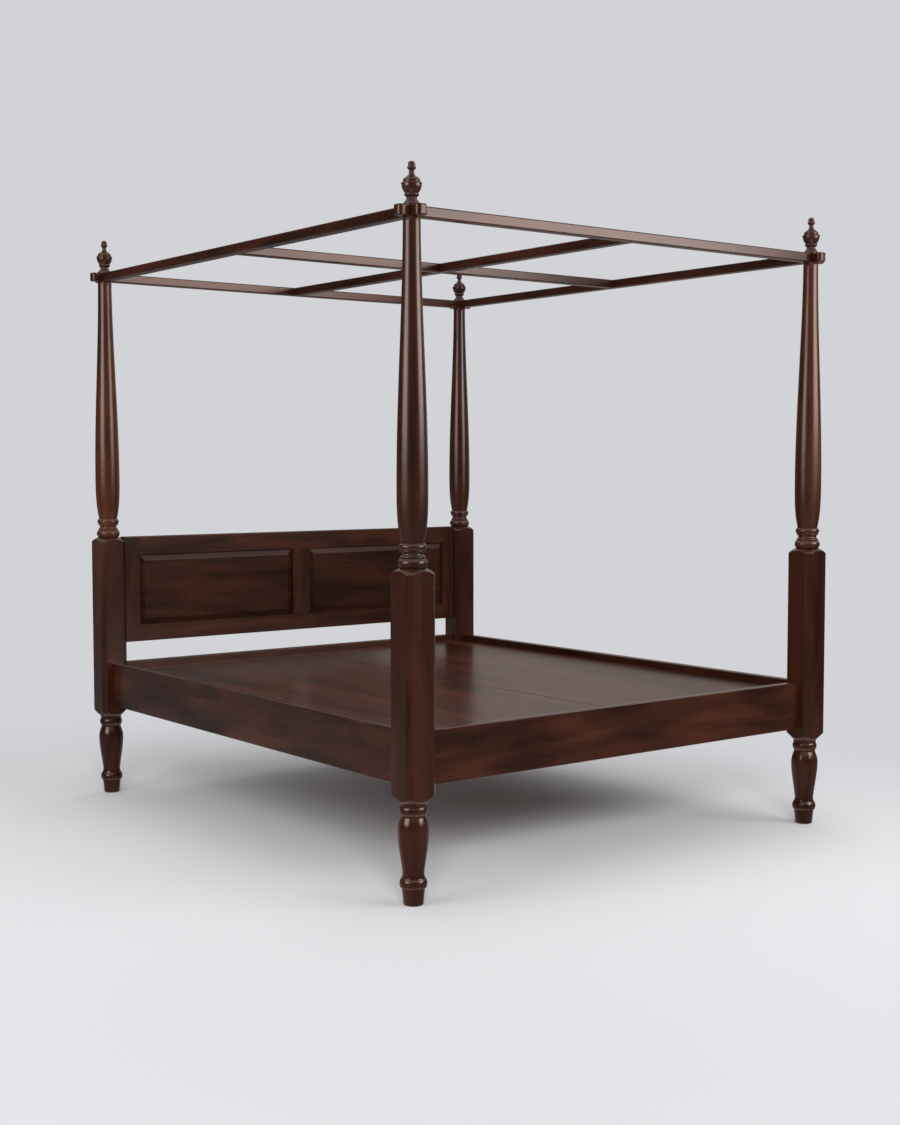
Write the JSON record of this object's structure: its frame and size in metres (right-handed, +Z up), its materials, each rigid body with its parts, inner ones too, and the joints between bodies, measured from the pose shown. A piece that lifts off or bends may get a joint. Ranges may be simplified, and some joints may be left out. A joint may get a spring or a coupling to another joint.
{
  "type": "four-poster bed",
  "caption": "Canopy bed with turned tapering posts and finials, raised-panel headboard, open tester frame with crossed rails, deep bed rails and a lift-out deck.",
  "frame": {"origin": "on the floor, midway between the four post axes", "axes": "+Z up, +Y towards the headboard, +X to the right as seen from the foot"},
  "size_m": [1.98, 2.29, 2.3065],
  "materials": {
    "post_and_rail_wood": "satin lacquer over dark stain",
    "headboard_panel_wood": "satin lacquer over dark stain",
    "deck_wood": "glossy lacquer over dark stain",
    "bearer_wood": "thin stain, unpolished",
    "steel": "zinc plated"
  },
  "bodies": {
    "frame": {"lower_post_foot_left": "post_and_rail_wood", "upper_post_foot_left": "post_and_rail_wood", "lower_post_foot_right": "post_and_rail_wood", "upper_post_foot_right": "post_and_rail_wood", "lower_post_head_left": "post_and_rail_wood", "upper_post_head_left": "post_and_rail_wood", "lower_post_head_right": "post_and_rail_wood", "upper_post_head_right": "post_and_rail_wood", "tester_side_rail_left": "post_and_rail_wood", "side_rail_left": "post_and_rail_wood", "headboard_stile_left": "post_and_rail_wood", "headboard_panel_left": "headboard_panel_wood", "ledger_left": "bearer_wood", "tester_side_rail_right": "post_and_rail_wood", "side_rail_right": "post_and_rail_wood", "headboard_stile_right": "post_and_rail_wood", "headboard_panel_right": "headboard_panel_wood", "ledger_right": "bearer_wood", "tester_head_rail": "post_and_rail_wood", "tester_foot_rail": "post_and_rail_wood", "tester_centre_rail": "post_and_rail_wood", "tester_cross_rail": "post_and_rail_wood", "head_rail": "post_and_rail_wood", "foot_rail": "post_and_rail_wood", "headboard_top_rail": "post_and_rail_wood", "headboard_bottom_rail": "post_and_rail_wood", "headboard_muntin": "post_and_rail_wood", "bearer_1": "bearer_wood", "bearer_2": "bearer_wood", "bearer_3": "bearer_wood", "bearer_4": "bearer_wood", "bearer_5": "bearer_wood", "bearer_6": "bearer_wood", "post_studs": "steel", "rail_hook_plates": "steel", "post_slot_plates": "steel", "plate_screws": "steel", "ledger_screws": "steel", "bearer_screws": "steel"},
    "loose_deck_left": {"deck_panel_left": "deck_wood"},
    "loose_deck_right": {"deck_panel_right": "deck_wood"},
    "loose_finial_foot_left": {"finial_foot_left": "post_and_rail_wood", "finial_pin_foot_left": "steel"},
    "loose_finial_foot_right": {"finial_foot_right": "post_and_rail_wood", "finial_pin_foot_right": "steel"},
    "loose_finial_head_left": {"finial_head_left": "post_and_rail_wood", "finial_pin_head_left": "steel"},
    "loose_finial_head_right": {"finial_head_right": "post_and_rail_wood", "finial_pin_head_right": "steel"}
  },
  "joints": [
    {"name": "deck_lift_left", "type": "slide", "parent": "frame", "child": "loose_deck_left", "axis": [0, 0, 1], "range_m": [0, 0.1]},
    {"name": "deck_lift_right", "type": "slide", "parent": "frame", "child": "loose_deck_right", "axis": [0, 0, 1], "range_m": [0, 0.1]},
    {"name": "finial_pull_foot_left", "type": "slide", "parent": "frame", "child": "loose_finial_foot_left", "axis": [0, 0, 1], "range_m": [0, 0.09]},
    {"name": "finial_pull_foot_right", "type": "slide", "parent": "frame", "child": "loose_finial_foot_right", "axis": [0, 0, 1], "range_m": [0, 0.09]},
    {"name": "finial_pull_head_left", "type": "slide", "parent": "frame", "child": "loose_finial_head_left", "axis": [0, 0, 1], "range_m": [0, 0.09]},
    {"name": "finial_pull_head_right", "type": "slide", "parent": "frame", "child": "loose_finial_head_right", "axis": [0, 0, 1], "range_m": [0, 0.09]}
  ]
}
